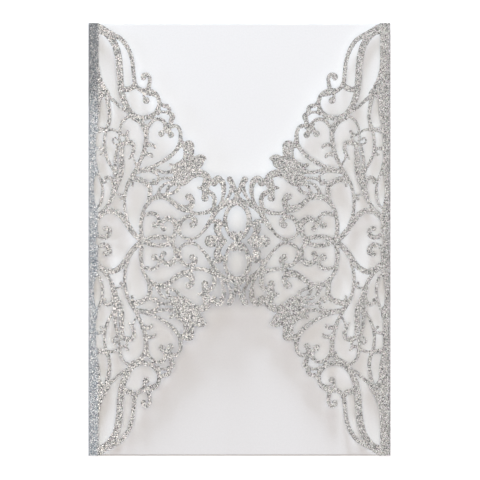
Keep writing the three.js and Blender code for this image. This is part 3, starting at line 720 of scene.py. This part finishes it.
def painted_fold_shade(tree, place):
    """The shares of painted shade on the strip beside the left fold: a cool painted shade, and a
    darker painted shade towards its top end, both of which rise and fall smoothly."""
    axes = add_node(tree, "ShaderNodeSeparateXYZ", Vector=place)
    beside = add_node(
        tree,
        "ShaderNodeMapRange",
        interpolation_type="SMOOTHSTEP",
        Value=axes.outputs["X"],
        From_Min=(SHADE_STRIP_WIDTH + SHADE_STRIP_FADE - HALF_WIDTH) * MM,
        From_Max=(SHADE_STRIP_WIDTH - SHADE_STRIP_FADE - HALF_WIDTH) * MM,
        To_Max=COOL_SHADE_SHARE,
    )
    above = add_node(
        tree,
        "ShaderNodeMapRange",
        interpolation_type="SMOOTHSTEP",
        Value=axes.outputs["Y"],
        From_Min=DARK_SHADE_FROM * MM,
        From_Max=DARK_SHADE_TO * MM,
        To_Max=1 / COOL_SHADE_SHARE,
    )
    cool_shade = beside.outputs["Result"]
    return cool_shade, joined_math(tree, "MULTIPLY", cool_shade, above.outputs["Result"], clamped=True)


def flake_normal(tree, random):
    """The surface's own normal plus a random part for each flake, at a length of 1."""
    centred = add_node(tree, "ShaderNodeVectorMath", operation="SUBTRACT")
    tree.links.new(random, centred.inputs[0])
    centred.inputs[1].default_value = (0.5, 0.5, 0.5)
    tilt = add_node(tree, "ShaderNodeVectorMath", operation="SCALE", Scale=FLAKE_TILT)
    tree.links.new(centred.outputs[0], tilt.inputs[0])
    surface = add_node(tree, "ShaderNodeNewGeometry")
    turned = add_node(tree, "ShaderNodeVectorMath", operation="ADD")
    tree.links.new(tilt.outputs[0], turned.inputs[0])
    tree.links.new(surface.outputs["Normal"], turned.inputs[1])
    unit = add_node(tree, "ShaderNodeVectorMath", operation="NORMALIZE")
    tree.links.new(turned.outputs[0], unit.inputs[0])
    return unit.outputs[0]


def glitter_material():
    """Silver glitter: flat flakes, each with its own tone, tint and tilt, and dark gaps between, with
    painted shade along the left fold.
    """
    material, tree, shader = new_material("silver_glitter", Metallic=0.5, Roughness=0.3)
    place = object_place(tree)
    cells = {"Vector": place, "Scale": 1 / MM / FLAKE_SIZE}
    flakes = add_node(tree, "ShaderNodeTexVoronoi", **cells)
    edges = add_node(tree, "ShaderNodeTexVoronoi", feature="DISTANCE_TO_EDGE", **cells)
    random = flakes.outputs["Color"]
    parts = add_node(tree, "ShaderNodeSeparateColor", Color=random)
    tone = colour_ramp(tree, parts.outputs["Red"], FLAKE_COLOURS)
    tinted = mixed(tree, FLAKE_TINT, tone, random, "MULTIPLY")
    gap = add_node(
        tree,
        "ShaderNodeMapRange",
        Value=edges.outputs["Distance"],
        From_Max=GAP_WIDTH,
        To_Min=GAP_TONE,
    )
    parted = mixed(tree, 1, tinted, gap.outputs["Result"], "MULTIPLY")
    # Painted shade: a cool tint and a darker tone mixed into the flakes along the left fold, darkest
    # towards its top end
    cool_shade, dark_shade = painted_fold_shade(tree, place)
    cool_shaded = mixed(tree, cool_shade, parted, (*COOL_SHADE_COLOUR, 1))
    shaded = mixed(tree, dark_shade, cool_shaded, (*DARK_SHADE_COLOUR, 1), "MULTIPLY")
    tree.links.new(shaded, shader.inputs["Base Color"])
    tree.links.new(flake_normal(tree, random), shader.inputs["Normal"])
    return material


def card_material(name, colours, grain, relief, **finish):
    """Plain card: one fine noise is both the tone and the height of its grain."""
    material, tree, shader = new_material(name, **finish)
    noise = add_node(tree, "ShaderNodeTexNoise", Vector=object_place(tree), **grain)
    tree.links.new(colour_ramp(tree, noise.outputs["Fac"], colours), shader.inputs["Base Color"])
    bump = add_node(tree, "ShaderNodeBump", Height=noise.outputs["Fac"], **relief)
    tree.links.new(bump.outputs["Normal"], shader.inputs["Normal"])
    return material


def board_material():
    """White board: the uncoated back and the cut edges of the glitter card."""
    grain = {"Scale": 900, "Detail": 5}
    relief = {"Strength": 0.3, "Distance": 0.05 * MM}
    return card_material("white_board", BOARD_COLOURS, grain, relief, Roughness=0.85)


def pearl_material():
    """Pearl card: smooth and white, with a faint fine shimmer."""
    grain = {"Scale": 1500, "Detail": 3}
    relief = {"Strength": 0.15, "Distance": 0.03 * MM}
    return card_material(
        "pearl_card", PEARL_COLOURS, grain, relief, Roughness=0.5, Sheen_Weight=0.1
    )


def pearl_insert():
    """The loose card: a grid whose height is a faint bow, thickened and with its edges eased.

    The bow is the square of the place across times the square of the place up, both from -1 to 1."""
    across, up = (np.linspace(-1, 1, count) for count in INSERT_GRID)
    s, t = np.meshgrid(across, up, indexing="ij")
    centre = (INSERT_LOW + INSERT_HIGH) / 2
    half = (INSERT_HIGH - INSERT_LOW) / 2
    x = centre.x + s * half.x
    y = centre.y + t * half.y
    z = centre.z + INSERT_GAP + INSERT_BOW * s**2 * t**2
    corners = np.column_stack([x.ravel(), y.ravel(), z.ravel()])
    number = np.arange(s.size).reshape(s.shape)
    quads = np.stack([number[:-1, :-1], number[1:, :-1], number[1:, 1:], number[:-1, 1:]], -1)
    quads = quads.reshape(-1, 4)
    kinds = np.zeros(len(quads), int)
    materials = [pearl_material()]
    piece = make_mesh("pearl_insert", corners, quads.tolist(), kinds, materials, smooth=False)
    wall = piece.modifiers.new("thickness", "SOLIDIFY")
    wall.thickness = 2 * half.z * MM
    wall.offset = 0
    ease = piece.modifiers.new("eased edges", "BEVEL")
    ease.width = EASED_EDGE * MM
    ease.segments = 2
    ease.limit_method = "ANGLE"
    return piece


def seen_directly(tree):
    """1 for the rays of the camera, of reflections and of clear surfaces, and 0 for the others."""
    path = add_node(tree, "ShaderNodeLightPath").outputs
    mirrored = joined_math(tree, "MAXIMUM", path["Is Camera Ray"], path["Is Glossy Ray"])
    return joined_math(tree, "MAXIMUM", mirrored, path["Is Transmission Ray"])


def floor_material():
    """A white floor that keeps the card's shadow."""
    material, tree, shader = new_material(
        "floor", Base_Color=(*FLOOR_COLOUR, 1), Roughness=0.9, Emission_Color=(*WHITE, 1)
    )
    glow = add_node(
        tree, "ShaderNodeMapRange", Value=seen_directly(tree), To_Max=FLOOR_GLOW
    )
    tree.links.new(glow.outputs["Result"], shader.inputs["Emission Strength"])
    return material


def pale_floor():
    """A wide floor just below the card."""
    side = FLOOR_SIZE / 2
    corners = [(-side, -side, 0), (side, -side, 0), (side, side, 0), (-side, side, 0)]
    mesh = bpy.data.meshes.new("floor")
    mesh.from_pydata(corners, [], [(0, 1, 2, 3)])
    mesh.materials.append(floor_material())
    floor = bpy.data.objects.new("floor", mesh)
    floor.location.z = -FLOOR_DROP
    bpy.context.scene.collection.objects.link(floor)


def soft_world():
    """A white background, and a dimmer, slightly tinted light from all round."""
    world = bpy.data.worlds.new("studio")
    bpy.context.scene.world = world
    world.use_nodes = True
    tree = world.node_tree
    background = tree.nodes["Background"]
    seen = seen_directly(tree)
    level = add_node(
        tree, "ShaderNodeMapRange", Value=seen, To_Min=WORLD_LEVEL, To_Max=WORLD_SEEN
    )
    tree.links.new(level.outputs["Result"], background.inputs["Strength"])
    colour = mixed(tree, seen, (*WORLD_COLOUR, 1), (*WHITE, 1))
    tree.links.new(colour, background.inputs["Color"])


def soft_lamps():
    """The square lamps, all turned to the card. Only the one overhead shows in reflections."""
    for name, place, width, power, colour in LAMPS:
        light = bpy.data.lights.new(name, "AREA")
        light.size = width
        light.energy = power
        light.color = colour
        lamp = bpy.data.objects.new(name, light)
        lamp.location = place
        lamp.visible_glossy = name == "overhead"
        lamp.rotation_mode = "QUATERNION"
        lamp.rotation_quaternion = (-Vector(place)).to_track_quat("-Z", "Y")
        bpy.context.scene.collection.objects.link(lamp)


def camera_above():
    """The camera straight above the card, at the height from which VIEW_WIDTH fills the picture."""
    lens = bpy.data.cameras.new("camera")
    lens.lens = LENS
    lens.sensor_width = SENSOR
    camera = bpy.data.objects.new("camera", lens)
    camera.location = (VIEW_CENTRE[0] * MM, VIEW_CENTRE[1] * MM, VIEW_WIDTH * MM * LENS / SENSOR)
    bpy.context.scene.collection.objects.link(camera)
    bpy.context.scene.camera = camera


def main():
    """Builds the invitation and its studio round the frame."""
    bpy.context.scene.view_settings.view_transform = "Standard"
    pale_floor()
    soft_world()
    soft_lamps()
    camera_above()
    wrapper = glitter_wrapper()
    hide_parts("gatefold_wrapper")
    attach(wrapper, "root")
    insert = pearl_insert()
    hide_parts("insert_card")
    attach(insert, "root")


main()
bpy.context.view_layer.update()
